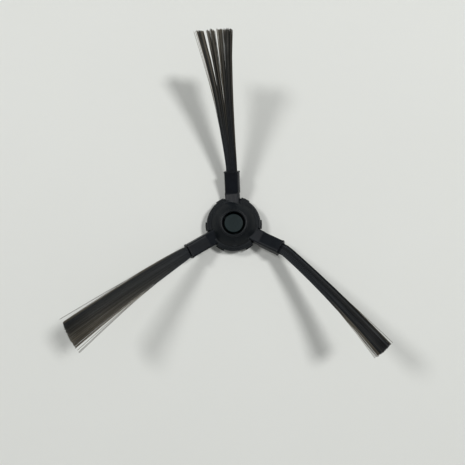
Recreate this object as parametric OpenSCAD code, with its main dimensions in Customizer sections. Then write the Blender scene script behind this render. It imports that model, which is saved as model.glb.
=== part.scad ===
// Side brush of a robot vacuum: a round hub, three soft sleeves and three bristle tufts.
// The hub's robot side is the plane z = 0 and its dome points up. Sleeve 1 points along +Y.
// Lengths are in millimetres and angles in degrees.

/* [Hub base] */
// Outer radius of the hub's wall
base_r = 12.8; // [12:0.1:15]
// Thickness of the hub's wall
wall_t = 1; // [0.8:0.1:1.4]
// Height of the wall
base_h = 5.6; // [5:0.1:6.4]
// Radius that rounds the wall's upper edge
wall_edge = 0.6; // [0.2:0.05:0.7]
// Depth of the channel under the hub
channel_d = 0.8; // [0.4:0.1:1]
// Thickness of the floor above the channel
floor_t = 1; // [0.8:0.1:1.2]
// Height at which the cover sits on the base
seat_z = 4.4; // [4.2:0.1:4.8]
// Width of the ribs across the channel
rib_w = 0.9; // [0.6:0.1:1.4]
// Number of ribs across the channel
rib_count = 6; // [3:3:12]
// How far the ribs stop short of the plane that the hub rests on
rib_drop = 0.2; // [0.1:0.05:0.4]

/* [Lugs round the wall] */
// How far the lugs stand out of the wall
lug_d = 0.7; // [0.4:0.05:1.2]
// Arc that each lug covers
lug_arc = 17.5; // [10:0.5:19]
// Angle from the sleeve to the near end of a lug
lug_from = 19; // [18.5:0.5:21]
// Height of a lug's lower edge
lug_low = 0.5; // [0.3:0.1:1]
// Height of a lug's upper edge
lug_high = 4.3; // [3:0.1:4.6]
// Radius that rounds a lug's edges
lug_edge = 0.35; // [0.1:0.05:0.5]

/* [Cover] */
// Height of the lip round the opening, which is the top of the hub
cover_h = 10.5; // [9.8:0.1:12]
// Thickness of the dome
cover_t = 1.2; // [0.9:0.1:1.6]
// Width of the flat ledge between the dome and the wall
ledge_w = 1.05; // [0.6:0.05:1.4]
// Height of the ledge above the base's wall
ledge_rise = 0.3; // [0.1:0.05:0.5]
// Chamfer on the ledge's outer edge
ledge_edge = 0.25; // [0.1:0.05:0.4]
// Width of the lip
lip_w = 1.2; // [0.9:0.1:1.6]
// Height of the lip above the dome's upper edge
lip_rise = 0.8; // [0.7:0.05:1]
// Distance of the cover's pins from the hub's centre
pin_x = 9.3; // [9.1:0.1:9.6]
// Radius of a pin
pin_r = 0.85; // [0.6:0.05:1]
// Depth that a pin goes into its post
pin_l = 2; // [1:0.1:2.3]
// Step from a pin out to the boss that carries it under the dome
pin_step = 0.4; // [0.2:0.05:0.6]
// Wall of the post round a pin
post_t = 0.7; // [0.5:0.05:0.9]
// Radius of the small moulding mark on the dome
mark_r = 0.35; // [0.2:0.05:0.5]
// Depth of the moulding marks
mark_d = 0.25; // [0.1:0.05:0.4]

/* [Drive core] */
// Radius of the bore that takes the drive shaft
bore_r = 3; // [2.5:0.05:3.2]
// Depth of the bore
bore_l = 6; // [5:0.1:7]
// Width of the two keyways
key_w = 1.2; // [0.8:0.1:1.6]
// Depth of the keyways beyond the bore
key_d = 0.6; // [0.4:0.05:0.7]
// Wall round the keyways
core_skin = 0.7; // [0.5:0.05:0.9]
// Step from the core's upper end out to its foot
foot_step = 0.7; // [0.4:0.05:0.9]
// How far the core's six-sided flange stands out of its foot
hex_lip = 1; // [0.8:0.05:1.2]
// Thickness of the six-sided flange
hex_t = 1.4; // [1:0.1:1.8]
// Wall of the base round the flange
boss_t = 0.8; // [0.6:0.05:1]
// Width of the dark ring between the core and the cover's lip
ring_gap = 0.9; // [0.5:0.05:1.1]
// How far the core's end lies below the lip
core_drop = 1; // [0.6:0.1:1.6]
// Radius that rounds the core's upper edge
core_edge = 0.4; // [0.2:0.05:0.6]

/* [Sleeves] */
// Width of a sleeve where it leaves the hub
arm_w = 6.8; // [6:0.1:7.2]
// Thickness of a sleeve where it leaves the hub
arm_t = 3.2; // [2.8:0.1:3.3]
// Radius that rounds the edges of that stretch
arm_edge = 0.6; // [0.3:0.05:1]
// Height of its middle line
arm_z = 4.6; // [4.5:0.05:4.8]
// Roll of a sleeve about its own length, with its clockwise side up
arm_roll = 17.5; // [10:0.5:19]
// Level stretch between the hub's wall and the elbow
arm_level = 1.3; // [1:0.1:4]
// Radius of the elbow's middle line
elbow_r = 3.2; // [2.9:0.1:6]
// Angle at which the sleeve and its bristles rise
arm_pitch = 22; // [15:0.5:30]
// Length of the sleeve beyond the elbow
sleeve_l = 9.9; // [9.6:0.1:14]
// Width of the sleeve beyond the elbow
sleeve_w = 6.7; // [6.6:0.1:7.4]
// Thickness of the sleeve beyond the elbow
sleeve_t = 4.4; // [4.2:0.1:5]
// Radius that rounds the sleeve's edges
sleeve_edge = 0.9; // [0.5:0.05:1.1]
// How far the rim of the mouth stands out
rim_d = 0.2; // [0.1:0.05:0.4]
// Length of the rim
rim_l = 0.6; // [0.4:0.05:1]
// Width of the crossbar that holds a sleeve in the hub
bar_w = 9.2; // [9:0.1:9.8]
// Thickness of the crossbar along the sleeve
bar_t = 1.7; // [1.2:0.1:1.8]
// Height of the crossbar
bar_h = 2.3; // [1.8:0.1:2.35]
// Wall of the base on each side of the crossbar
bar_cheek = 0.7; // [0.5:0.05:0.9]

/* [Fused roots] */
// Width of the fused bar at the root of a tuft
root_w = 5.2; // [5.1:0.05:5.3]
// Thickness of the fused bar
root_t = 2.2; // [2.1:0.05:2.4]
// Length of the fused bar
root_l = 2; // [1:0.1:2.2]
// How far the bead at its end stands out
bead_d = 0.25; // [0.1:0.05:0.3]
// Length of the bead
bead_l = 1; // [0.5:0.1:1.2]
// Length of the loose bristles inside the mouth
hidden_l = 6; // [3:0.1:6.1]

/* [Bristles] */
// Bristles side by side in a row
columns = 18; // [6:1:18]
// Rows in a tuft
rows = 4; // [2:1:4]
// Half of a bristle's thickness
bristle_r = 0.12; // [0.08:0.01:0.13]
// Length of the bristles beyond the mouth
free_l = 60; // [40:1:80]
// Difference in length between the bristles at their tips
ragged = 1.6; // [0:0.1:3]
// Length over which a tuft turns after it leaves the mouth
turn_l = 5; // [3:0.5:12]
// Thickness of the fan at the tips
fan_t = 4.2; // [2:0.1:8]
// How strongly bristles gather into locks
lock_pull = 0.5; // [0:0.05:0.6]
// How far the outermost bristles stray from the fan
stray = 1.4; // [0:0.1:4]

/* [Tuft 1] */
// Sideways turn of tuft 1 at its mouth
turn_1 = 5.6; // [-30:0.1:30]
// Slow sideways curl of tuft 1 to its tips
curl_1 = 0; // [-10:0.5:10]
// Width of tuft 1 across its tips
fan_1 = 13.6; // [6:0.1:20]
// Locks that tuft 1 parts into
locks_1 = 5; // [1:1:8]

/* [Tuft 2] */
// Sideways turn of tuft 2 at its mouth
turn_2 = 6.4; // [-30:0.1:30]
// Slow sideways curl of tuft 2 to its tips
curl_2 = 0; // [-10:0.5:10]
// Width of tuft 2 across its tips
fan_2 = 12.4; // [6:0.1:20]
// Locks that tuft 2 parts into
locks_2 = 4; // [1:1:8]

/* [Tuft 3] */
// Sideways turn of tuft 3 at its mouth
turn_3 = -20.2; // [-30:0.1:30]
// Slow sideways curl of tuft 3 to its tips
curl_3 = 0; // [-10:0.5:10]
// Width of tuft 3 across its tips
fan_3 = 7.2; // [6:0.1:20]
// Locks that tuft 3 parts into
locks_3 = 3; // [1:1:8]

/* [Fits] */
// Clearance between the hub's pieces
fit = 0.1; // [0.05:0.01:0.15]
// Clearance between a fused root and its sleeve
root_fit = 0.05; // [0.02:0.01:0.1]

/* [Hidden] */
$fn = 96;

arm_count = 3;
first_arm = 90;
between_arms = 180 / arm_count;
// Overlap that fuses two forms of one piece
sink = 0.4;

hub_black = [0.13, 0.15, 0.16];
cover_black = [0.16, 0.18, 0.19];
core_green = [0.27, 0.33, 0.32];
sleeve_black = [0.12, 0.13, 0.15];
root_grey = [0.30, 0.29, 0.28];
bristle_grey = [0.36, 0.34, 0.31];

wall_in = base_r - wall_t;
floor_z = channel_d + floor_t;

core_r = bore_r + key_d + core_skin;
core_h = cover_h - core_drop;
foot_r = core_r + foot_step;
hex_corner_r = (foot_r + hex_lip) / cos(30);
hex_z = seat_z - hex_t;
boss_r = hex_corner_r + fit / cos(30) + boss_t;

// The dome is part of a sphere through the ledge's inner corner and the foot of the lip
opening_r = core_r + ring_gap;
lip_r = opening_r + lip_w;
flange_r = wall_in - fit;
dome_foot_r = flange_r - ledge_w;
ledge_z = base_h + ledge_rise;
dome_top = cover_h - lip_rise;
dome_c = (dome_foot_r ^ 2 + ledge_z ^ 2 - lip_r ^ 2 - dome_top ^ 2) / (2 * (ledge_z - dome_top));
dome_r = norm([dome_foot_r, ledge_z - dome_c]);
post_r = pin_r + fit + post_t;
mark_z = dome_c + sqrt(dome_r ^ 2 - pin_x ^ 2);

// The crossbar's outer corners just clear the inside of the wall
bar_x1 = sqrt((wall_in - fit) ^ 2 - (bar_w / 2) ^ 2);
bar_x0 = bar_x1 - bar_t;
bar_z = seat_z - fit - bar_h;

elbow_x = base_r + arm_level;
elbow_end = [elbow_x + elbow_r * sin(arm_pitch), 0, arm_z + elbow_r * (1 - cos(arm_pitch))];
root_end_x = sleeve_l - hidden_l;
bead_x = root_end_x - root_l;
// The sleeve grows only downwards at the elbow, so its middle line drops by this much
sleeve_drop = (sleeve_t - arm_t) / 2;

turns = [turn_1, turn_2, turn_3];
curls = [curl_1, curl_2, curl_3];
fans = [fan_1, fan_2, fan_3];
locks = [locks_1, locks_2, locks_3];

// Axes of a sleeve's mouth, seen from its arm: along the bristles, across them and through them
along = [cos(arm_pitch), 0, sin(arm_pitch)];
across = [sin(arm_roll) * sin(arm_pitch), cos(arm_roll), -sin(arm_roll) * cos(arm_pitch)];
through = [-cos(arm_roll) * sin(arm_pitch), sin(arm_roll), cos(arm_roll) * cos(arm_pitch)];

// Distances along a bristle, from its root, at which its section is placed
stations = [
    0,
    hidden_l,
    hidden_l + turn_l * 0.45,
    hidden_l + turn_l,
    hidden_l + turn_l + (free_l - turn_l) * 0.3,
    hidden_l + turn_l + (free_l - turn_l) * 0.65,
    hidden_l + free_l
];
last = len(stations) - 1;

// Turns a point about the vertical axis
function turned(p, a) = [p.x * cos(a) - p.y * sin(a), p.x * sin(a) + p.y * cos(a), p.z];

// Smooth step from 0 to 1
function smooth(x) = let (c = min(max(x, 0), 1)) c * c * (3 - 2 * c);

// Share of the free length that lies behind a station
function way(i) = max(stations[i] - hidden_l, 0) / free_l;

// Heading of tuft k at station i
function heading(k, i) = turns[k] * smooth((stations[i] - hidden_l) / turn_l) + curls[k] * way(i);

// Middle line of tuft k, summed from station to station with the heading halfway
function middle(k, i) =
    i == 0
    ? elbow_end + root_end_x * along - sleeve_drop * through
    : middle(k, i - 1)
        + (stations[i] - stations[i - 1]) * turned(along, (heading(k, i - 1) + heading(k, i)) / 2);

// Place of one of n in a row, from -1 to 1
function place(i, n) = n > 1 ? 2 * i / (n - 1) - 1 : 0;

// The same place at the tips, gathered into locks without changing the order
function gathered(x, n) = x - lock_pull * sin(180 * n * (x + 1)) * 2 / (2 * PI * n);

module at_arm(k) {
    rotate([0, 0, first_arm + 2 * between_arms * k])
        children();
}

// Outline from the children, extruded outwards from x0 to x1 at the height of the arm's middle
module outwards(x0, x1) {
    translate([x0, 0, arm_z])
        rotate([90, 0, 90])
            linear_extrude(x1 - x0)
                children();
}

// The same in the frame of the rising sleeve, whose x runs from the elbow to the mouth
module up_sleeve(x0, x1) {
    translate(elbow_end)
        rotate([0, -arm_pitch, 0])
            translate([x0, 0, 0])
                rotate([90, 0, 90])
                    linear_extrude(x1 - x0)
                        children();
}

// Rectangle with round corners about its centre
module rounded_rect(w, h, r) {
    square([w - 2 * r, h], center = true);
    square([w, h - 2 * r], center = true);
    for (sx = [-1, 1], sy = [-1, 1])
        translate([sx * (w / 2 - r), sy * (h / 2 - r)])
            circle(r);
}

// Rectangle from a corner, with its upper right corner rounded
module edged_rect(w, h, r) {
    square([w - r, h]);
    square([w, h - r]);
    translate([w - r, h - r])
        circle(r);
}

// Rectangle from a corner, with its upper right corner cut off
module chamfered_rect(w, h, c) {
    polygon([[0, 0], [w, 0], [w, h - c], [w - c, h], [0, h]]);
}

// Section of the level stretch, seen from its end, with room for a clearance
module arm_section(gap = 0) {
    rotate(-arm_roll)
        rounded_rect(arm_w + 2 * gap, arm_t + 2 * gap, arm_edge + gap);
}

// Section of the rising sleeve, whose upper face runs on from the level stretch
module sleeve_section(grow = 0) {
    rotate(-arm_roll)
        translate([0, -sleeve_drop])
            rounded_rect(sleeve_w + 2 * grow, sleeve_t + 2 * grow, sleeve_edge + grow);
}

// Section of the fused root, in the middle of the sleeve
module root_section(grow = 0) {
    rotate(-arm_roll)
        translate([0, -sleeve_drop])
            rounded_rect(root_w + 2 * grow, root_t + 2 * grow, root_t / 4);
}

// Slot that a sleeve is laid into from above: the outline of its section, open upwards
module neck_slot() {
    w = arm_w / 2 + fit;
    t = arm_t / 2 + fit;
    c = cos(arm_roll);
    s = sin(arm_roll);
    up = base_h;
    polygon([
        [w * c - t * s, -w * s - t * c],
        [w * c + t * s, -w * s + t * c],
        [w * c + t * s, up],
        [-w * c - t * s, up],
        [-w * c - t * s, w * s - t * c]
    ]);
}

module lug(from) {
    h = lug_high - lug_low;
    rotate_extrude(start = from, angle = lug_arc)
        translate([base_r - wall_t / 2, lug_low])
            edged_rect(wall_t / 2 + lug_d, h, lug_edge);
}

// Block that carries a sleeve's crossbar, between the boss and the wall
module arm_seat() {
    half = bar_w / 2 + fit + bar_cheek;
    intersection() {
        translate([boss_r - sink, -half, floor_z - sink])
            cube([base_r, 2 * half, seat_z - floor_z + sink]);
        cylinder(r = wall_in + wall_t / 2, h = base_h);
    }
}

module arm_room() {
    translate([bar_x0 - fit, -bar_w / 2 - fit, bar_z - fit])
        cube([bar_t + 2 * fit, bar_w + 2 * fit, base_h]);
    outwards(bar_x0 - fit, base_r + lug_d)
        neck_slot();
}

module hub_base() {
    color(hub_black)
        difference() {
            union() {
                rotate_extrude() {
                    translate([wall_in, 0])
                        edged_rect(wall_t, base_h, wall_edge);
                    translate([foot_r + fit, channel_d])
                        square([wall_in + wall_t / 2 - foot_r - fit, floor_t]);
                    translate([foot_r + fit, 0])
                        square([boss_r - foot_r - fit, seat_z]);
                }
                for (k = [0 : arm_count - 1])
                    at_arm(k) {
                        lug(lug_from);
                        lug(-lug_from - lug_arc);
                        arm_seat();
                        rotate(between_arms)
                            translate([pin_x, 0, floor_z - sink])
                                cylinder(r = post_r, h = seat_z - floor_z + sink);
                    }
                for (k = [0 : rib_count - 1])
                    rotate(first_arm + 360 / rib_count * k)
                        translate([boss_r - sink, -rib_w / 2, rib_drop])
                            cube([wall_in - boss_r + 2 * sink, rib_w, channel_d - rib_drop + sink]);
            }
            translate([0, 0, hex_z])
                cylinder(r = hex_corner_r + fit / cos(30), h = base_h, $fn = 6);
            for (k = [0 : arm_count - 1])
                at_arm(k) {
                    arm_room();
                    rotate(between_arms)
                        translate([pin_x, 0, seat_z - pin_l - fit])
                            cylinder(r = pin_r + fit, h = base_h);
                }
        }
}

// Half section of the cover without its hollow
module cover_outline() {
    translate([0, seat_z])
        chamfered_rect(flange_r, ledge_z - seat_z, ledge_edge);
    intersection() {
        translate([0, dome_c])
            circle(dome_r);
        translate([0, seat_z])
            square([flange_r, dome_top - seat_z]);
    }
    translate([opening_r, seat_z])
        square([lip_w, cover_h - lip_w / 2 - seat_z]);
    translate([opening_r + lip_w / 2, cover_h - lip_w / 2])
        circle(lip_w / 2);
}

// Hollow under the dome, between the tube round the core and the skirt
module cover_hollow() {
    intersection() {
        translate([0, dome_c])
            circle(dome_r - cover_t);
        translate([lip_r, 0])
            square([dome_foot_r - lip_r, cover_h]);
    }
}

module hub_cover() {
    color(cover_black)
        difference() {
            union() {
                rotate_extrude()
                    difference() {
                        cover_outline();
                        square([opening_r, cover_h + 1]);
                        cover_hollow();
                    }
                for (k = [0 : arm_count - 1])
                    at_arm(k)
                        rotate(between_arms)
                            translate([pin_x, 0, 0]) {
                                translate([0, 0, seat_z - pin_l])
                                    cylinder(r = pin_r, h = pin_l + mark_z - cover_t / 2 - seat_z);
                                translate([0, 0, seat_z + fit])
                                    cylinder(r = pin_r + pin_step, h = mark_z - cover_t / 2 - seat_z - fit);
                            }
            }
            for (k = [0 : arm_count - 1])
                at_arm(k)
                    outwards(bar_x0 - fit, base_r + lug_d)
                        arm_section(fit);
            rotate(-90)
                translate([pin_x, 0, mark_z - mark_d])
                    cylinder(r = mark_r, h = 1);
        }
}

module drive_core() {
    color(core_green)
        difference() {
            union() {
                cylinder(r = foot_r, h = seat_z - hex_t / 2);
                translate([0, 0, hex_z])
                    cylinder(r = hex_corner_r, h = hex_t, $fn = 6);
                rotate_extrude()
                    edged_rect(core_r, core_h, core_edge);
            }
            translate([0, 0, -1])
                cylinder(r = bore_r, h = bore_l + 1);
            translate([-key_w / 2, -bore_r - key_d, -1])
                cube([key_w, 2 * (bore_r + key_d), bore_l + 1]);
            translate([0, 0, core_h - mark_d])
                cylinder(r = mark_r, h = 1);
        }
}

module arm_sleeve(k) {
    color(sleeve_black)
        at_arm(k)
            difference() {
                union() {
                    translate([bar_x0, -bar_w / 2, bar_z])
                        cube([bar_t, bar_w, bar_h]);
                    outwards(bar_x0, elbow_x)
                        arm_section();
                    translate([elbow_x, 0, arm_z + elbow_r])
                        rotate([-90, 90, 0])
                            rotate_extrude(start = -arm_pitch, angle = arm_pitch)
                                translate([elbow_r, 0])
                                    rotate(90)
                                        arm_section();
                    up_sleeve(-sink, sleeve_l)
                        sleeve_section();
                    up_sleeve(sleeve_l - rim_l, sleeve_l)
                        sleeve_section(rim_d);
                }
                up_sleeve(bead_x, sleeve_l + 1)
                    root_section(root_fit);
                up_sleeve(bead_x - bead_l - root_fit, bead_x + root_fit)
                    root_section(bead_d + root_fit);
            }
}

module tuft_root(k) {
    color(root_grey)
        at_arm(k) {
            up_sleeve(bead_x - bead_l, root_end_x)
                root_section();
            up_sleeve(bead_x - bead_l, bead_x)
                root_section(bead_d);
        }
}

// All the bristles of a tuft: each is a four-sided tube through the stations
module tuft(k) {
    count = columns * rows;
    shift = rands(-1, 1, count, 11 + k);
    lift = rands(-1, 1, count, 21 + k);
    extra = rands(-1, 1, count, 31 + k);
    step_w = (root_w - 2 * bristle_r) / columns;
    step_t = (root_t - 2 * bristle_r) / rows;
    tip_w = fans[k] / columns;
    tip_t = fan_t / rows;
    points = [
        for (c = [0 : columns - 1], r = [0 : rows - 1])
            let (
                n = c * rows + r,
                x = place(c, columns),
                end = c == 0 ? -1 : c == columns - 1 ? 1 : 0,
                w0 = x * step_w * (columns - 1) / 2,
                t0 = place(r, rows) * step_t * (rows - 1) / 2,
                w1 = gathered(x, locks[k]) * fans[k] / 2
                    + end * stray * abs(shift[n]) + shift[n] * tip_w / 6 + place(r, rows) * tip_w / 2,
                t1 = (place(r, rows) * (rows - 1) / 2 + (c % 2) / 2 - 1 / 4 + lift[n] / 10) * tip_t
            )
            for (i = [0 : last])
                let (
                    turn = heading(k, i),
                    a = turned(across, turn),
                    b = turned(through, turn),
                    centre = middle(k, i)
                        + (w0 + (w1 - w0) * way(i)) * a
                        + (t0 + (t1 - t0) * way(i)) * b
                        + (i == last ? ragged / 2 * extra[n] : 0) * turned(along, turn)
                )
                for (side = [a, b, -a, -b])
                    centre + bristle_r * side
    ];
    faces = [
        for (n = [0 : count - 1])
            let (first = 4 * (last + 1) * n, end = first + 4 * last)
            each [
                [first, first + 1, first + 2, first + 3],
                [end + 3, end + 2, end + 1, end],
                for (i = [0 : last - 1], j = [0 : 3])
                    let (p = first + 4 * i, q = (j + 1) % 4)
                    each [[p + j, p + 4 + j, p + 4 + q], [p + j, p + 4 + q, p + q]]
            ]
    ];
    color(bristle_grey)
        at_arm(k)
            polyhedron(points, faces, convexity = 10);
}

hub_base();
hub_cover();
drive_core();
arm_sleeve(0);  // arm_sleeve_1
arm_sleeve(1);  // arm_sleeve_2
arm_sleeve(2);  // arm_sleeve_3
tuft_root(0);  // tuft_root_1
tuft_root(1);  // tuft_root_2
tuft_root(2);  // tuft_root_3
tuft(0);  // tuft_1
tuft(1);  // tuft_2
tuft(2);  // tuft_3
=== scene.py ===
# %% [markdown]
# # Side brush of a robot vacuum
#
# A small spinning brush: a moulded hub, three soft sleeves that rise from it, and a tuft of
# nylon bristles in each sleeve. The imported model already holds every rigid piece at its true
# size, so this lesson dresses those pieces and makes the one thing that a machine drawing can
# only hint at, the bristles.
#
# All lengths are in metres. The hub's robot side lies on z = 0 and sleeve 1 points along +Y.

# %% Load the frame
import math

import bpy
import numpy as np
from mathutils import Matrix, Vector


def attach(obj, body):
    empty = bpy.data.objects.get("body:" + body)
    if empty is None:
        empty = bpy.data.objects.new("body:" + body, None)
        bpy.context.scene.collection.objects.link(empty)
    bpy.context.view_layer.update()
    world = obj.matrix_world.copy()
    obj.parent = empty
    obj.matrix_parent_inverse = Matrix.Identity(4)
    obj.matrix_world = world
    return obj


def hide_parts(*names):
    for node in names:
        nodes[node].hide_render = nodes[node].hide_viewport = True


MM = 0.001

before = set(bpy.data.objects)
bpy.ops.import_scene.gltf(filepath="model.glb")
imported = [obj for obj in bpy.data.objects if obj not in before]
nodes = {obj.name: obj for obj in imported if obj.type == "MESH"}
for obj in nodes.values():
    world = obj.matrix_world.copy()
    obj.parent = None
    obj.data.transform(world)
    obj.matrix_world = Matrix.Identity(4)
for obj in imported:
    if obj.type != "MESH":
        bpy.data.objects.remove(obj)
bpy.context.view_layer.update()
print("CAD nodes:", ", ".join(sorted(nodes)))

# %% [markdown]
# ## Camera
#
# The photograph was taken from nearly straight above with a phone's wide lens, close enough for
# the raised tips to look larger than the hub. A wide lens from close by is therefore part of the
# likeness: a long lens would draw the three tufts shorter. The camera is first placed over an
# upright brush, then both are turned back by the few degrees that the brush was turned.

# %% Camera
PHOTO_SIDE = 465  # side of the photograph in pixels
FOCAL_PIXELS = 370  # focal length in the same pixels
CAMERA_PLACE = (0.49 * MM, -18.19 * MM, 179.54 * MM)
CAMERA_LEAN_BACK = math.radians(4.65)
CAMERA_LEAN_ASIDE = math.radians(0.35)
BRUSH_TURN = math.radians(2.5)

camera_data = bpy.data.cameras.new("camera")
camera_data.lens = camera_data.sensor_width * FOCAL_PIXELS / PHOTO_SIDE
camera_data.clip_start = 5 * MM
camera = bpy.data.objects.new("camera", camera_data)
bpy.context.scene.collection.objects.link(camera)
camera.matrix_world = (
    Matrix.Rotation(-BRUSH_TURN, 4, "Z")
    @ Matrix.Translation(CAMERA_PLACE)
    @ Matrix.Rotation(CAMERA_LEAN_ASIDE, 4, "Y")
    @ Matrix.Rotation(CAMERA_LEAN_BACK, 4, "X")
)
bpy.context.scene.camera = camera
print(f"lens {camera_data.lens:.1f} mm, {CAMERA_PLACE[2] / MM:.0f} mm above the floor")

# %% [markdown]
# ## Floor and backdrop
#
# The brush lies on a pale, even surface. A floor that runs on into a rising backdrop gives a
# plain pale ground in every view, also one taken from low down. It is one surface of revolution:
# a flat disc, a quarter circle and an upright wall, so a single profile turned about Z makes it.

# %% Surface from a grid of points
def grid_faces(rows, columns, close_rows=False, close_columns=False):
    """Quads between neighbours on a grid of rows x columns points.

    Point (i, j) has the number i * columns + j, and its quad joins (i, j), (i, j + 1),
    (i + 1, j + 1) and (i + 1, j). A closed direction joins its last line to its first.
    """
    i = np.arange(rows if close_rows else rows - 1)[:, None]
    j = np.arange(columns if close_columns else columns - 1)[None, :]
    i_next, j_next = (i + 1) % rows, (j + 1) % columns
    corners = (i * columns + j, i * columns + j_next, i_next * columns + j_next, i_next * columns + j)
    return np.stack(np.broadcast_arrays(*corners), axis=-1).reshape(-1, 4)


def new_piece(name, points, faces, smooth=True):
    """A mesh object at the origin from an array of points and a list of faces."""
    mesh = bpy.data.meshes.new(name)
    mesh.from_pydata(points.reshape(-1, 3).tolist(), [], [list(face) for face in faces])
    mesh.polygons.foreach_set("use_smooth", np.full(len(mesh.polygons), smooth))
    mesh.update()
    piece = bpy.data.objects.new(name, mesh)
    bpy.context.scene.collection.objects.link(piece)
    return piece


# %% Floor and backdrop
FLOOR_DROP = 0.02 * MM  # keeps the floor just clear of the hub's own lowest faces
FLOOR_RADIUS = 1.6
SWEEP_RADIUS = 0.5
WALL_HEIGHT = 1.6

arc = np.linspace(0, math.pi / 2, 13)
profile = np.concatenate([
    [[0.001, 0.0]],
    np.stack([FLOOR_RADIUS + SWEEP_RADIUS * np.sin(arc), SWEEP_RADIUS * (1 - np.cos(arc))], axis=-1),
    [[FLOOR_RADIUS + SWEEP_RADIUS, WALL_HEIGHT]],
])
around = np.linspace(0, 2 * math.pi, 96, endpoint=False)
floor_points = np.stack([
    profile[:, None, 0] * np.cos(around),
    profile[:, None, 0] * np.sin(around),
    np.repeat(profile[:, None, 1], len(around), axis=1) - FLOOR_DROP,
], axis=-1)
floor_faces = grid_faces(len(profile), len(around), close_columns=True)[:, ::-1].tolist()
floor_faces.append(list(range(len(around))))
floor = new_piece("floor", floor_points, floor_faces)
print(f"floor and backdrop: {len(floor_faces)} faces")

# %% [markdown]
# ## Light
#
# Every tuft in the photograph throws two soft shadows. The shift of a tip's two shadows, over the
# height of the tip, gives the direction of each lamp: one stands to the right and one to the left,
# both a little beyond the brush. How dark each shadow is gives that lamp's share of the light, and
# what is left is the room, which the world stands for.
#
# A lamp of power P at a distance d lights a surface that it meets at the angle t with
# P cos(t) / (pi d^2). A white surface renders at 1 when that is pi, so each lamp's power follows
# from its share.

# %% Lamps
LAMP_DISTANCE = 1.3
ROOM_SHARE = 0.26
ROOM_COLOUR = (0.97, 0.98, 1.0, 1)


def lamp(name, azimuth, elevation, share, size):
    """A round lamp that looks at the origin and gives that share of a plain level of light."""
    a, e = math.radians(azimuth), math.radians(elevation)
    away = Vector((math.cos(e) * math.cos(a), math.cos(e) * math.sin(a), math.sin(e)))
    data = bpy.data.lights.new(name, "AREA")
    data.shape = "DISK"
    data.size = size
    data.energy = share * math.pi * math.pi * LAMP_DISTANCE ** 2 / math.sin(e)
    light = bpy.data.objects.new(name, data)
    light.location = away * LAMP_DISTANCE
    light.rotation_mode = "QUATERNION"
    light.rotation_quaternion = away.to_track_quat("Z", "Y")
    bpy.context.scene.collection.objects.link(light)
    print(f"{name}: {data.energy:.1f} W, {share:.0%} of the light")


lamp("lamp_right", azimuth=23, elevation=57, share=0.46, size=0.26)
lamp("lamp_left", azimuth=150, elevation=46, share=0.28, size=0.30)

world = bpy.data.worlds.new("room")
world.use_nodes = True
room_light = world.node_tree.nodes["Background"]
room_light.inputs["Color"].default_value = ROOM_COLOUR
room_light.inputs["Strength"].default_value = ROOM_SHARE
bpy.context.scene.world = world

# %% [markdown]
# ## Bristles: the middle line of a tuft
#
# Each tuft starts in its sleeve's mouth and leaves it along the sleeve, which rises at 22 degrees
# and is rolled about its own length. Just past the mouth the tuft has taken a set: it turns aside
# by some degrees, and then it curves on slowly to its tips. The middle line is the running sum of
# small steps along that direction. All of it is worked out for an arm that points along +X and
# then turned to the arm's own angle.

# %% Directions of a sleeve
ARM_ANGLES = np.radians([90, 210, 330])
ARM_PITCH = math.radians(22)
ARM_ROLL = math.radians(17.5)
MOUTH = np.array([24.69, -0.18, 8.01]) * MM  # centre of the mouth, on an arm along +X

cp, sp = math.cos(ARM_PITCH), math.sin(ARM_PITCH)
cr, sr = math.cos(ARM_ROLL), math.sin(ARM_ROLL)
ALONG = np.array([cp, 0, sp])
ACROSS = np.array([sr * sp, cr, -sr * cp])
THROUGH = np.array([-cr * sp, sr, cr * cp])


def turned(vectors, angle):
    """Vectors turned about Z: (x cos a - y sin a, x sin a + y cos a, z), for arrays of angles too."""
    c, s = np.cos(angle), np.sin(angle)
    x, y, z = vectors[..., 0], vectors[..., 1], vectors[..., 2]
    return np.stack([x * c - y * s, x * s + y * c, z + 0 * c], axis=-1)


def smooth_step(x):
    """3 x^2 - 2 x^3 between 0 and 1, and flat outside."""
    x = np.clip(x, 0, 1)
    return x * x * (3 - 2 * x)


print("a sleeve's mouth looks along", np.round(ALONG, 3))

# %% [markdown]
# ## Bristles: fans, locks and strays
#
# Used bristles don't stand evenly. They part into locks with slits of floor between them, they
# cling together in thin strands, and a few stand off by themselves. So each tuft is told by a few
# numbers that were read off the photograph:
#
# - turn and curve: the bend past the mouth and the slow curve after it, in degrees
# - fan and spread: the width at the tips, and the power of the distance that it grows with
# - skew: below 0, bristles crowd to the clockwise side, and above 0 to the other
# - slant: how much longer the bristles are on the anticlockwise side
# - slits: place across the tuft from -1 to 1, width at the tips, and the power that it grows with
# - strays: distance outside the fan at the tips, and how far along the bristle leaves the fan

# %% The three tufts
FREE = 60 * MM  # length beyond the mouth
HIDDEN = 6 * MM  # length inside the sleeve
MOUTH_W, MOUTH_T = 5.2 * MM, 2.2 * MM
BRISTLE_R = 0.1 * MM
BRISTLES = 250
TIP_T = 4.2 * MM

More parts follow.
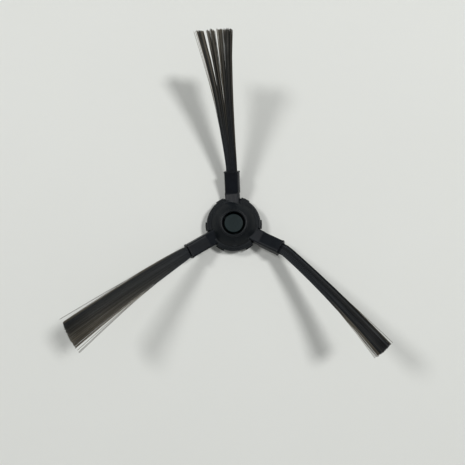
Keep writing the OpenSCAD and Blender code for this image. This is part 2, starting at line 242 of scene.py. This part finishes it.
TUFTS = [
    dict(
        turn=3.6, curve=3.1, bend=5 * MM, fan=15.6 * MM, spread=1.4, skew=0.0, slant=1.0 * MM,
        slits=[
            (-0.34, 0.5 * MM, 4), (-0.16, 0.5 * MM, 4), (-0.03, 1.6 * MM, 1.7), (0.24, 0.5 * MM, 4),
            (0.5, 1.6 * MM, 2.8),
        ],
        strays=[(0.9 * MM, 0.5), (0.35 * MM, 0.6)],
        strands=34, ragged=0.5 * MM, seed=11,
    ),
    dict(
        turn=1.6, curve=6.8, bend=5 * MM, fan=11.4 * MM, spread=0.68, skew=-0.3, slant=1.3 * MM,
        slits=[(0.42, 0.3 * MM, 3), (0.72, 0.5 * MM, 2.5)],
        strays=[(-1.8 * MM, 0.42), (2.1 * MM, 0.38), (1.95 * MM, 0.4), (0.8 * MM, 0.45)],
        strands=30, ragged=0.4 * MM, seed=12,
    ),
    dict(
        turn=-16.6, curve=-8.6, bend=5 * MM, fan=7.1 * MM, spread=2.0, skew=0.0, slant=-0.3 * MM,
        slits=[(-0.45, 0.2 * MM, 3), (0.25, 0.25 * MM, 1.5)],
        strays=[(1.7 * MM, 0.5), (1.5 * MM, 0.54), (-1.4 * MM, 0.55), (-1.2 * MM, 0.57)],
        strands=22, ragged=0.35 * MM, seed=13,
    ),
]
for number, tuft in enumerate(TUFTS, start=1):
    print(f"tuft {number}: turned {tuft['turn']} degrees, {tuft['fan'] / MM:.1f} mm wide at its tips")

# %% [markdown]
# ## Bristles: one array for a whole tuft
#
# The places of all the bristles at all their stations are one array: bristle x station x 3. Across
# the tuft they start evenly spread with a little jitter and are then drawn into strands, so that
# none cuts through the tuft, and through it they are placed at random. No loop runs over them.

# %% Middle line
STATIONS = np.array([-6.0, 0.0, 2.5, 5.0, 11.0, 20.0, 29.0, 38.0, 49.0, 60.0]) * MM
FINE_STEP = 0.25 * MM


def middle_line(tuft):
    """Places and headings of the middle line at the stations.

    The heading is turn * smooth_step(s / bend) + curve * s / free length, and the place is the
    mouth plus the sum of direction * step from the mouth on. Inside the sleeve it is straight.
    """
    s = np.arange(-HIDDEN, FREE + FINE_STEP / 2, FINE_STEP)
    heading = math.radians(tuft["turn"]) * smooth_step(s / tuft["bend"])
    heading = heading + math.radians(tuft["curve"]) * np.clip(s, 0, None) / FREE
    direction = turned(np.broadcast_to(ALONG, (len(s), 3)), heading)
    steps = (direction[1:] + direction[:-1]) / 2 * FINE_STEP
    place = np.concatenate([np.zeros((1, 3)), np.cumsum(steps, axis=0)])
    place += MOUTH - HIDDEN * ALONG
    at = np.stack([np.interp(STATIONS, s, place[:, axis]) for axis in range(3)], axis=-1)
    return at, np.interp(STATIONS, s, heading)


# %% Paths of the bristles
CLING = 0.55  # how far a bristle is drawn to the middle of its strand at the tips
STRAND_MIX = 0.2  # how far bristles at the border of two strands change over, in strands
TIP_DRIFT, BOW = 0.1 * MM, 0.07 * MM  # random drift aside at the tips, and bow aside halfway
TIP_DRIFT_THROUGH, BOW_THROUGH = 0.2 * MM, 0.08 * MM  # the same through the tuft
STRAY_POWER = 1.15  # above 1, a stray leaves the fan smoothly
RAGGED_ENDS = 0.35  # share of a tuft's raggedness that is each bristle's own
NEIGHBOURS = 12  # bristles on either side that openness is averaged over


def running_mean(rows, reach):
    """Mean of each row with as many as reach rows before and after it, the ends repeated."""
    window = np.ones(2 * reach + 1) / (2 * reach + 1)

    def smoothed(column):
        return np.convolve(np.pad(column, reach, mode="edge"), window, "valid")

    return np.apply_along_axis(smoothed, 0, rows)


def bristle_paths(tuft):
    """Places (bristle x station x 3), the rings' two directions, tones and openness.

    Across: u * half width, where the width grows from the mouth's to the fan's with way ^ spread.
    The bristle is drawn to the middle of its strand, and each slit moves it aside by half its
    width. Through: v * half thickness. A small random drift grows with the way from the mouth.
    Openness is how far apart neighbours are, next to the mouth, where they touch.
    """
    rng = np.random.default_rng(tuft["seed"])
    count = BRISTLES
    way = np.clip(STATIONS / FREE, 0, 1)
    u = (np.arange(count) + rng.uniform(0.1, 0.9, count)) / count * 2 - 1
    v = rng.uniform(-1, 1, count)
    strands = tuft["strands"]
    strand = np.floor((u + 1) / 2 * strands + rng.normal(0, STRAND_MIX, count))
    strand = np.clip(strand, 0, strands - 1).astype(int)
    strand_u = (np.arange(strands) + 0.5) / strands * 2 - 1
    strand_u = strand_u + rng.uniform(-0.4, 0.4, strands) / strands
    drawn = u[:, None] + (strand_u[strand] - u)[:, None] * CLING * way ** 1.5
    drawn = drawn + tuft["skew"] * (1 - drawn ** 2) * way

    slit_sum = sum(width for _, width, _ in tuft["slits"])
    grown = way ** tuft["spread"]
    half_w = MOUTH_W / 2 - BRISTLE_R + grown * ((tuft["fan"] - slit_sum) / 2 - MOUTH_W / 2)
    half_t = MOUTH_T / 2 - BRISTLE_R + grown * (TIP_T - MOUTH_T) / 2
    aside = drawn * half_w
    for place, width, power in tuft["slits"]:
        aside = aside + np.sign(strand_u[strand] - place)[:, None] * width / 2 * way ** power
    aside = aside + rng.normal(0, TIP_DRIFT, count)[:, None] * way ** 1.5
    aside = aside + rng.normal(0, BOW, count)[:, None] * np.sin(math.pi * way)

    for side in (1, -1):
        own = [stray for stray in tuft["strays"] if stray[0] * side > 0]
        own.sort(key=lambda stray: -abs(stray[0]))
        for rank, (beyond, leaves) in enumerate(own):
            n = count - 1 - rank if side > 0 else rank
            edge = side * (half_w + slit_sum / 2 * way ** 2)
            out = np.clip((way - leaves) / (1 - leaves), 0, 1) ** STRAY_POWER
            aside[n] = edge + beyond * out

    depth = v[:, None] * half_t + rng.normal(0, TIP_DRIFT_THROUGH, count)[:, None] * way ** 2
    depth = depth + rng.normal(0, BOW_THROUGH, count)[:, None] * np.sin(math.pi * way)

    centre, heading = middle_line(tuft)
    across = turned(np.broadcast_to(ACROSS, centre.shape), heading)
    through = turned(np.broadcast_to(THROUGH, centre.shape), heading)
    along = turned(np.broadcast_to(ALONG, centre.shape), heading)
    places = centre + aside[..., None] * across + depth[..., None] * through
    lock = np.digitize(u, sorted(place for place, _, _ in tuft["slits"]))
    lock_length = rng.uniform(-0.5, 0.5, lock.max() + 1) * tuft["ragged"]
    own_length = rng.normal(0, RAGGED_ENDS, count) * tuft["ragged"]
    extra = lock_length[lock] + own_length + u * tuft["slant"]
    places[:, -1] += extra[:, None] * along[-1]

    tone = 0.5 + 0.1 * rng.standard_normal(lock.max() + 1)[lock]
    tone = tone + 0.13 * rng.standard_normal(strands)[strand] + rng.normal(0, 0.13, count)
    gaps = running_mean(np.gradient(aside, axis=0), NEIGHBOURS)
    openness = gaps / (MOUTH_W / count) - 1
    return places, across, through, np.clip(tone, 0, 1), openness


# %% [markdown]
# ## Bristles: tubes round the paths
#
# A bristle is a drawn nylon thread of 0.2 mm. Five sides are enough at that size, because smooth
# shading hides the corners and hundreds of threads add up. Each ring of a tube stands in the plane
# of the tuft's own across and through directions, so no tube twists. Two attributes travel with
# the mesh for the material: how far apart the bristles stand there, and the bristle's own tone.

# %% Tubes
SIDES = 5


def tubes(name, places, across, through, tone, openness, radius):
    """Closed tubes of SIDES sides round many paths, as one mesh.

    A ring's points are centre + radius * (cos a * across + sin a * through).
    """
    count, stations = places.shape[:2]
    a = np.linspace(0, 2 * math.pi, SIDES, endpoint=False)[:, None]
    ring = np.cos(a) * across[:, None] + np.sin(a) * through[:, None]
    points = places[:, :, None] + radius * ring[None]
    quads = grid_faces(stations, SIDES, close_columns=True)
    first = np.arange(count)[:, None, None] * stations * SIDES
    walls = (quads[None] + first).reshape(-1, 4).tolist()
    near = (np.arange(SIDES)[::-1][None] + first[:, 0]).tolist()
    far = (np.arange(SIDES)[None] + (stations - 1) * SIDES + first[:, 0]).tolist()
    piece = new_piece(name, points, walls + near + far)
    flat = np.arange(len(piece.data.polygons)) < len(walls)
    piece.data.polygons.foreach_set("use_smooth", flat)
    spread = np.broadcast_to(openness[..., None], (count, stations, SIDES))
    tones = np.broadcast_to(tone[:, None, None], (count, stations, SIDES))
    for label, values in (("openness", spread), ("tone", tones)):
        attribute = piece.data.attributes.new(label, "FLOAT", "POINT")
        attribute.data.foreach_set("value", values.astype(np.float32).ravel())
    return piece


# %% Make the three tufts
bristles = []
for number, (tuft, angle) in enumerate(zip(TUFTS, ARM_ANGLES), start=1):
    places, across, through, tone, openness = bristle_paths(tuft)
    places, across, through = (turned(x, angle) for x in (places, across, through))
    piece = tubes(f"bristles_{number}", places, across, through, tone, openness, BRISTLE_R)
    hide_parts(f"tuft_{number}")
    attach(piece, "root")
    bristles.append(piece)
    tip = places[:, -1].mean(axis=0) / MM
    faces = len(piece.data.polygons)
    print(f"{piece.name}: {len(places)} bristles, {faces} faces, tips near {np.round(tip, 1)} mm")

# %% [markdown]
# ## Materials: a short way to build them
#
# Every finish here is a small graph of shader nodes. Two helpers keep the graphs readable: one
# adds a node and fills its inputs, and one starts a material with its Principled shader. What
# several finishes share, the fine grain of a moulding and the painted highlight on edges,
# is a node group.

# %% Helpers for shader graphs
def add(tree, kind, inputs=None, **settings):
    """A new node; each input is given a value or joined to another node's output."""
    node = tree.nodes.new(kind)
    for name, value in settings.items():
        setattr(node, name, value)
    for name, value in (inputs or {}).items():
        if isinstance(value, bpy.types.NodeSocket):
            tree.links.new(value, node.inputs[name])
        else:
            node.inputs[name].default_value = value
    return node


def group(name, inputs, outputs):
    """An empty node group with named inputs (name: default) and outputs (name: socket type)."""
    tree = bpy.data.node_groups.new(name, "ShaderNodeTree")
    for label, default in inputs.items():
        socket = tree.interface.new_socket(label, in_out="INPUT", socket_type="NodeSocketFloat")
        socket.default_value = default
    for label, kind in outputs.items():
        tree.interface.new_socket(label, in_out="OUTPUT", socket_type=kind)
    return tree, tree.nodes.new("NodeGroupInput"), tree.nodes.new("NodeGroupOutput")


SPECULAR = 0.2  # below the usual 0.5, because every surface here is dull


def material(name, roughness):
    """A material whose Principled shader keeps its plain numbers on its own sockets."""
    made = bpy.data.materials.new(name)
    made.use_nodes = True
    shader = made.node_tree.nodes["Principled BSDF"]
    shader.inputs["Roughness"].default_value = roughness
    shader.inputs["Specular IOR Level"].default_value = SPECULAR
    return made, made.node_tree, shader


def between(tree, factor, low, high):
    """Maps a factor from 0..1 to low..high."""
    mapped = add(tree, "ShaderNodeMapRange", {"Value": factor, "To Min": low, "To Max": high})
    return mapped.outputs["Result"]


def mixed(tree, factor, first, second):
    """The colour that lies that far from the first to the second."""
    node = add(tree, "ShaderNodeMix", {"Factor": factor}, data_type="RGBA")
    for slot, colour in ((6, first), (7, second)):
        if isinstance(colour, bpy.types.NodeSocket):
            tree.links.new(colour, node.inputs[slot])
        else:
            node.inputs[slot].default_value = (*colour, 1)
    return node.outputs[2]


# %% [markdown]
# ### Grain of a moulding
#
# Spark-eroded moulds leave a fine pebbled grain on plastic, a few tenths of a millimetre across,
# with slow cloudy changes of gloss over it. The group gives both from Object coordinates, so the
# grain keeps its size on every piece.

# %% Group: moulded grain
def moulded_grain():
    """Height of the grain and a slow cloud, both 0 to 1, at a given number of pebbles per metre."""
    tree, given, out = group(
        "moulded_grain", {"Pebbles": 4000.0, "Clouds": 180.0},
        {"Height": "NodeSocketFloat", "Cloud": "NodeSocketFloat"},
    )
    where = add(tree, "ShaderNodeTexCoord").outputs["Object"]
    fine = add(tree, "ShaderNodeTexNoise", {
        "Vector": where, "Scale": given.outputs["Pebbles"], "Detail": 2.0, "Roughness": 0.6,
    })
    slow = add(tree, "ShaderNodeTexNoise", {
        "Vector": where, "Scale": given.outputs["Clouds"], "Detail": 4.0, "Roughness": 0.55,
    })
    tree.links.new(fine.outputs["Fac"], out.inputs["Height"])
    cloud = add(tree, "ShaderNodeMapRange", {
        "Value": slow.outputs["Fac"], "From Min": 0.3, "From Max": 0.7,
    })
    tree.links.new(cloud.outputs["Result"], out.inputs["Cloud"])
    return tree


# %% [markdown]
# ### Painted edge highlight
#
# Edges are painted paler: a painted highlight for the light that the rims of the plastic and
# rubber catch. The Bevel node rounds the normal near an edge, so the angle between that normal and
# the true one is a mask of edges. A cloud breaks the painted highlight up into patches.

# %% Group: painted edge highlight
def painted_edge_highlight():
    """Mask from 0 to 1 that is high where the surface turns sharply within Width metres."""
    # The mask paints a highlight: wherever it is high, a finish turns paler.
    tree, given, out = group(
        "painted_edge_highlight", {"Width": 0.0003, "Amount": 1.0}, {"Mask": "NodeSocketFloat"},
    )
    round_normal = add(tree, "ShaderNodeBevel", {"Radius": given.outputs["Width"]}, samples=4)
    true_normal = add(tree, "ShaderNodeNewGeometry").outputs["Normal"]
    dot = add(tree, "ShaderNodeVectorMath", operation="DOT_PRODUCT")
    tree.links.new(round_normal.outputs["Normal"], dot.inputs[0])
    tree.links.new(true_normal, dot.inputs[1])
    sharp = add(tree, "ShaderNodeMapRange", {
        "Value": dot.outputs["Value"], "From Min": 0.99, "From Max": 0.75,
    })
    where = add(tree, "ShaderNodeTexCoord").outputs["Object"]
    patches = add(tree, "ShaderNodeTexNoise", {"Vector": where, "Scale": 900.0, "Detail": 3.0})
    uneven = add(tree, "ShaderNodeMapRange", {
        "Value": patches.outputs["Fac"], "From Min": 0.35, "From Max": 0.6,
    })
    product = add(tree, "ShaderNodeMath", operation="MULTIPLY")
    tree.links.new(sharp.outputs["Result"], product.inputs[0])
    tree.links.new(uneven.outputs["Result"], product.inputs[1])
    scaled = add(tree, "ShaderNodeMath", operation="MULTIPLY")
    tree.links.new(product.outputs["Value"], scaled.inputs[0])
    tree.links.new(given.outputs["Amount"], scaled.inputs[1])
    tree.links.new(scaled.outputs["Value"], out.inputs["Mask"])
    return tree


# The second group is the mask of the painted highlight on edges.
GRAIN, EDGE_HIGHLIGHT = moulded_grain(), painted_edge_highlight()

# %% [markdown]
# ## Hub plastics
#
# The base and the cover are black plastic with a blue-green tinge and a satin grain. The core in
# the middle is a separate, greener plastic that is a touch smoother. One function makes all of
# them from a colour, a gloss and the depth of the grain.

# %% Moulded plastic
PEBBLES_OF_PLASTIC = 4500.0


def moulded(name, colour, highlight_colour, roughness, bump=0.15, highlight_amount=1.0):
    """Satin plastic: cloudy colour and gloss, a painted highlight on edges and a pebbled bump."""
    made, tree, shader = material(name, roughness)
    grain = add(tree, "ShaderNodeGroup", node_tree=GRAIN)
    grain.inputs["Pebbles"].default_value = PEBBLES_OF_PLASTIC
    edges = add(tree, "ShaderNodeGroup", node_tree=EDGE_HIGHLIGHT)
    edges.inputs["Amount"].default_value = highlight_amount
    dark = tuple(0.7 * c for c in colour)
    base = mixed(tree, grain.outputs["Cloud"], dark, colour)
    # Painted highlight: the edge mask mixes the colour towards the paler highlight colour.
    highlighted = mixed(tree, edges.outputs["Mask"], base, highlight_colour)
    tree.links.new(highlighted, shader.inputs["Base Color"])
    gloss = between(tree, grain.outputs["Cloud"], roughness - 0.05, roughness + 0.06)
    tree.links.new(gloss, shader.inputs["Roughness"])
    relief = add(tree, "ShaderNodeBump", {
        "Height": grain.outputs["Height"], "Strength": bump, "Distance": 0.05 * MM,
    })
    tree.links.new(relief.outputs["Normal"], shader.inputs["Normal"])
    return made


def dress(node, finish):
    """Gives a CAD node that finish and no other."""
    slots = nodes[node].data.materials
    slots.clear()
    slots.append(finish)


# The second, paler colour of each plastic is its painted highlight on edges.
hub_plastic = moulded(
    "hub_plastic", colour=(0.005, 0.007, 0.009), highlight_colour=(0.03, 0.034, 0.036), roughness=0.42,
)
cover_plastic = moulded(
    "cover_plastic", colour=(0.006, 0.008, 0.010), highlight_colour=(0.035, 0.04, 0.042), roughness=0.42,
)
core_plastic = moulded(
    "core_plastic", colour=(0.009, 0.018, 0.019), highlight_colour=(0.03, 0.04, 0.04), roughness=0.45,
    bump=0.1, highlight_amount=0.6,
)
dress("hub_base", hub_plastic)
dress("hub_cover", cover_plastic)
dress("drive_core", core_plastic)
print("hub dressed in", ", ".join(m.name for m in (hub_plastic, cover_plastic, core_plastic)))

# %% [markdown]
# ## Sleeves
#
# The sleeves are a soft black rubber, duller than the hub. Where a sleeve leaves the hub it is
# streaked along its length, as rubber is that was pulled out of its mould. The streaks are noise
# that is stretched along the arm, so each sleeve turns the coordinates by its own angle first.

# %% Rubber
STREAK_STRETCH = 0.06
RUBBER_DARK, RUBBER_PALE = (0.002, 0.003, 0.005), (0.004, 0.006, 0.009)
# Paler colour of the painted highlight on the sleeves' edges.
RUBBER_HIGHLIGHT = (0.05, 0.048, 0.046)
PEBBLES_OF_RUBBER = 6000.0


def sleeve_rubber(name, angle):
    """Dull rubber with streaks along an arm at that angle about Z."""
    made, tree, shader = material(name, 0.42)
    where = add(tree, "ShaderNodeTexCoord").outputs["Object"]
    straight = add(tree, "ShaderNodeMapping", {"Vector": where, "Rotation": (0, 0, -angle)})
    stretched = add(tree, "ShaderNodeMapping", {
        "Vector": straight.outputs["Vector"], "Scale": (STREAK_STRETCH, 1, STREAK_STRETCH),
    })
    streaks = add(tree, "ShaderNodeTexNoise", {
        "Vector": stretched.outputs["Vector"], "Scale": 2200.0, "Detail": 3.0,
    })
    grain = add(tree, "ShaderNodeGroup", node_tree=GRAIN)
    grain.inputs["Pebbles"].default_value = PEBBLES_OF_RUBBER
    edges = add(tree, "ShaderNodeGroup", node_tree=EDGE_HIGHLIGHT)
    edges.inputs["Amount"].default_value = 0.8
    base = mixed(tree, grain.outputs["Cloud"], RUBBER_DARK, RUBBER_PALE)
    # Painted highlight: the edge mask mixes the rubber towards that paler colour.
    highlighted = mixed(tree, edges.outputs["Mask"], base, RUBBER_HIGHLIGHT)
    tree.links.new(highlighted, shader.inputs["Base Color"])
    tree.links.new(between(tree, streaks.outputs["Fac"], 0.30, 0.56), shader.inputs["Roughness"])
    relief = add(tree, "ShaderNodeBump", {
        "Height": streaks.outputs["Fac"], "Strength": 0.2, "Distance": 0.06 * MM,
    })
    fine = add(tree, "ShaderNodeBump", {
        "Height": grain.outputs["Height"], "Strength": 0.12, "Distance": 0.04 * MM,
        "Normal": relief.outputs["Normal"],
    })
    tree.links.new(fine.outputs["Normal"], shader.inputs["Normal"])
    return made


for number, angle in enumerate(ARM_ANGLES, start=1):
    dress(f"arm_sleeve_{number}", sleeve_rubber(f"sleeve_rubber_{number}", angle))

# %% [markdown]
# ## Fused roots
#
# Inside each sleeve the bristles are melted together into a bar. It hardly shows, so it gets a
# plain glassy grey with a little mottling.

# %% Fused nylon
# The paler second colour is a painted highlight on the bar's edges, as on the hub.
fused = moulded(
    "fused_root", colour=(0.05, 0.047, 0.043), highlight_colour=(0.09, 0.085, 0.08), roughness=0.35,
    bump=0.3, highlight_amount=0.5,
)
for number in (1, 2, 3):
    dress(f"tuft_root_{number}", fused)

# %% [markdown]
# ## Nylon bristles
#
# The bristles are smoky grey nylon. Packed together at the root they look near black with a blue
# tinge, and where they spread the light gets between and through them and turns them a brownish
# grey. The colour therefore runs with the attribute "openness", and each bristle is a little
# lighter or darker by its own "tone", which is what draws the fine streaks of a tuft.

# %% Nylon
PACKED, HALF_OPEN, OPEN = (0.016, 0.019, 0.023, 1), (0.036, 0.036, 0.033, 1), (0.090, 0.080, 0.062, 1)


def nylon():
    """Smoky nylon: packed to spread by the attribute "openness", thread to thread by "tone"."""
    made, tree, shader = material("smoky_nylon", 0.5)
    spread = add(tree, "ShaderNodeAttribute", attribute_name="openness").outputs["Fac"]
    tone = add(tree, "ShaderNodeAttribute", attribute_name="tone").outputs["Fac"]
    opened = add(tree, "ShaderNodeMapRange", {"Value": spread, "From Min": -0.1, "From Max": 2.2})
    run = add(tree, "ShaderNodeValToRGB", {"Fac": opened.outputs["Result"]})
    stops = run.color_ramp.elements
    stops[0].position, stops[0].color = 0.0, PACKED
    stops[1].position, stops[1].color = 1.0, OPEN
    stops.new(0.35).color = HALF_OPEN
    light = add(tree, "ShaderNodeMapRange", {"Value": tone, "To Min": 0.2, "To Max": 2.0})
    scaled = add(tree, "ShaderNodeVectorMath", operation="SCALE")
    tree.links.new(run.outputs["Color"], scaled.inputs["Vector"])
    tree.links.new(light.outputs["Result"], scaled.inputs["Scale"])
    tree.links.new(scaled.outputs["Vector"], shader.inputs["Base Color"])
    tree.links.new(between(tree, tone, 0.6, 0.4), shader.inputs["Roughness"])
    return made


smoky_nylon = nylon()
for piece in bristles:
    piece.data.materials.append(smoky_nylon)

# %% [markdown]
# ## Floor finish
#
# Pale, matt and all but even, so that it shows the two soft shadows of each tuft.

# %% Floor paint
FLOOR_DARK, FLOOR_PALE = (0.70, 0.71, 0.68), (0.73, 0.74, 0.71)


def floor_paint():
    """Matt pale paint with a very faint cloud."""
    made, tree, shader = material("pale_floor", 0.8)
    where = add(tree, "ShaderNodeTexCoord").outputs["Object"]
    cloud = add(tree, "ShaderNodeTexNoise", {"Vector": where, "Scale": 9.0, "Detail": 3.0})
    paint = mixed(tree, cloud.outputs["Fac"], FLOOR_DARK, FLOOR_PALE)
    tree.links.new(paint, shader.inputs["Base Color"])
    return made


floor.data.materials.append(floor_paint())

# %% Plain view transform
bpy.context.scene.view_settings.view_transform = "Standard"
